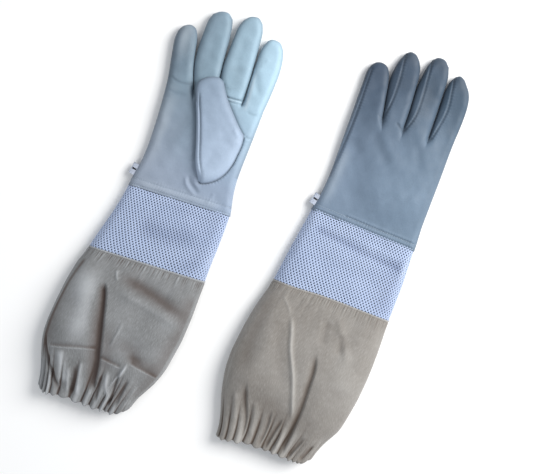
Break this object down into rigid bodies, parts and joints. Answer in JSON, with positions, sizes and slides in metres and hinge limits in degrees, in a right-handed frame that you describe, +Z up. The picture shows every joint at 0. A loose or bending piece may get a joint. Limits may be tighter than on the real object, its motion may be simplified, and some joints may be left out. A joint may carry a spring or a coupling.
{
  "type": "beekeeping gloves",
  "caption": "Pair of long beekeeping gloves laid flat: leather hands with curling fingers and folded thumbs, ventilated mesh wrists and elasticated canvas gauntlets.",
  "frame": {"origin": "middle of the pair's footprint, on the surface the gloves lie on", "axes": "+Z up off the surface, +Y towards the fingertips, +X from the little fingers to the index fingers"},
  "size_m": [0.3718, 0.5215, 0.036],
  "materials": {
    "leather_palm": "soft satin goatskin",
    "leather_back": "soft satin goatskin",
    "mesh": "open knitted spacer mesh",
    "canvas_right": "plain woven cotton canvas",
    "canvas_left": "plain woven cotton canvas",
    "elastic": "woven-covered elastic tape",
    "label": "woven tape, blank"
  },
  "bodies": {
    "right_little_finger": {"right_little_front": "leather_palm", "right_little_back": "leather_back", "right_little_fourchette": "leather_palm"},
    "right_ring_finger": {"right_ring_front": "leather_palm", "right_ring_back": "leather_back", "right_ring_fourchette": "leather_palm"},
    "right_middle_finger": {"right_middle_front": "leather_palm", "right_middle_back": "leather_back", "right_middle_fourchette": "leather_palm"},
    "right_index_finger": {"right_index_front": "leather_palm", "right_index_back": "leather_back", "right_index_fourchette": "leather_palm"},
    "right_thumb": {"right_thumb_outer": "leather_palm", "right_thumb_inner": "leather_palm"},
    "right_cuff": {"right_mesh_lower": "mesh", "right_gather_band": "canvas_right", "right_gauntlet": "canvas_right", "right_hem_casing": "canvas_right", "right_hem_elastic": "elastic"},
    "right_hand": {"right_palm_panel": "leather_palm", "right_ring_middle_front": "leather_palm", "right_back_panel": "leather_back", "right_fourchette_little_ring": "leather_palm", "right_fourchette_ring_middle": "leather_palm", "right_fourchette_middle_index": "leather_palm", "right_wrist_hem": "leather_palm", "right_label_loop": "label", "right_mesh_upper": "mesh"},
    "left_little_finger": {"left_little_front": "leather_palm", "left_little_back": "leather_back", "left_little_fourchette": "leather_palm"},
    "left_ring_finger": {"left_ring_front": "leather_palm", "left_ring_back": "leather_back", "left_ring_fourchette": "leather_palm"},
    "left_middle_finger": {"left_middle_front": "leather_palm", "left_middle_back": "leather_back", "left_middle_fourchette": "leather_palm"},
    "left_index_finger": {"left_index_front": "leather_palm", "left_index_back": "leather_back", "left_index_fourchette": "leather_palm"},
    "left_thumb": {"left_thumb_outer": "leather_palm", "left_thumb_inner": "leather_palm"},
    "left_cuff": {"left_mesh_lower": "mesh", "left_gather_band": "canvas_left", "left_gauntlet": "canvas_left", "left_hem_casing": "canvas_left", "left_hem_elastic": "elastic"},
    "left_hand": {"left_palm_panel": "leather_palm", "left_ring_middle_front": "leather_palm", "left_back_panel": "leather_back", "left_fourchette_little_ring": "leather_palm", "left_fourchette_ring_middle": "leather_palm", "left_fourchette_middle_index": "leather_palm", "left_wrist_hem": "leather_palm", "left_label_loop": "label", "left_mesh_upper": "mesh"}
  },
  "joints": [
    {"name": "left_glove_lift", "type": "slide", "parent": "right_cuff", "child": "left_cuff", "axis": [0, 0, 1], "range_m": [0, 0.2]},
    {"name": "right_wrist_fold", "type": "hinge", "parent": "right_cuff", "child": "right_hand", "pos_m": [-0.09486, -0.04044, 0.0173], "axis": [0.999, 0.0436, 0], "range_deg": [0, 90]},
    {"name": "right_thumb_swing", "type": "hinge", "parent": "right_hand", "child": "right_thumb", "pos_m": [-0.06567, 0.06474, 0.0188], "axis": [0, 0, -1], "range_deg": [0, 70]},
    {"name": "right_little_curl", "type": "hinge", "parent": "right_hand", "child": "right_little_finger", "pos_m": [-0.13913, 0.1398, 0.014], "axis": [0.9799, 0.1994, 0], "range_deg": [0, 85]},
    {"name": "right_ring_curl", "type": "hinge", "parent": "right_hand", "child": "right_ring_finger", "pos_m": [-0.11071, 0.15706, 0.014], "axis": [0.9954, 0.0958, 0], "range_deg": [0, 85]},
    {"name": "right_middle_curl", "type": "hinge", "parent": "right_hand", "child": "right_middle_finger", "pos_m": [-0.07857, 0.15846, 0.014], "axis": [0.999, 0.0436, 0], "range_deg": [0, 85]},
    {"name": "right_index_curl", "type": "hinge", "parent": "right_hand", "child": "right_index_finger", "pos_m": [-0.04629, 0.15186, 0.014], "axis": [0.9994, 0.0349, 0], "range_deg": [0, 85]},
    {"name": "left_wrist_fold", "type": "hinge", "parent": "left_cuff", "child": "left_hand", "pos_m": [0.11748, 0.00006, 0.0193], "axis": [0.999, -0.0436, 0], "range_deg": [0, 90]},
    {"name": "left_thumb_swing", "type": "hinge", "parent": "left_hand", "child": "left_thumb", "pos_m": [0.14374, 0.10282, 0.00425], "axis": [0, 0, -1], "range_deg": [0, 70]},
    {"name": "left_little_raise", "type": "hinge", "parent": "left_hand", "child": "left_little_finger", "pos_m": [0.07718, 0.184, 0.0228], "axis": [1, 0.0087, 0], "range_deg": [0, 45]},
    {"name": "left_ring_raise", "type": "hinge", "parent": "left_hand", "child": "left_ring_finger", "pos_m": [0.10624, 0.20075, 0.0228], "axis": [1, 0, 0], "range_deg": [0, 45]},
    {"name": "left_middle_raise", "type": "hinge", "parent": "left_hand", "child": "left_middle_finger", "pos_m": [0.13745, 0.19938, 0.0228], "axis": [0.9997, -0.0262, 0], "range_deg": [0, 45]},
    {"name": "left_index_raise", "type": "hinge", "parent": "left_hand", "child": "left_index_finger", "pos_m": [0.16969, 0.19798, 0.0228], "axis": [0.9994, 0.0349, 0], "range_deg": [0, 45]}
  ]
}
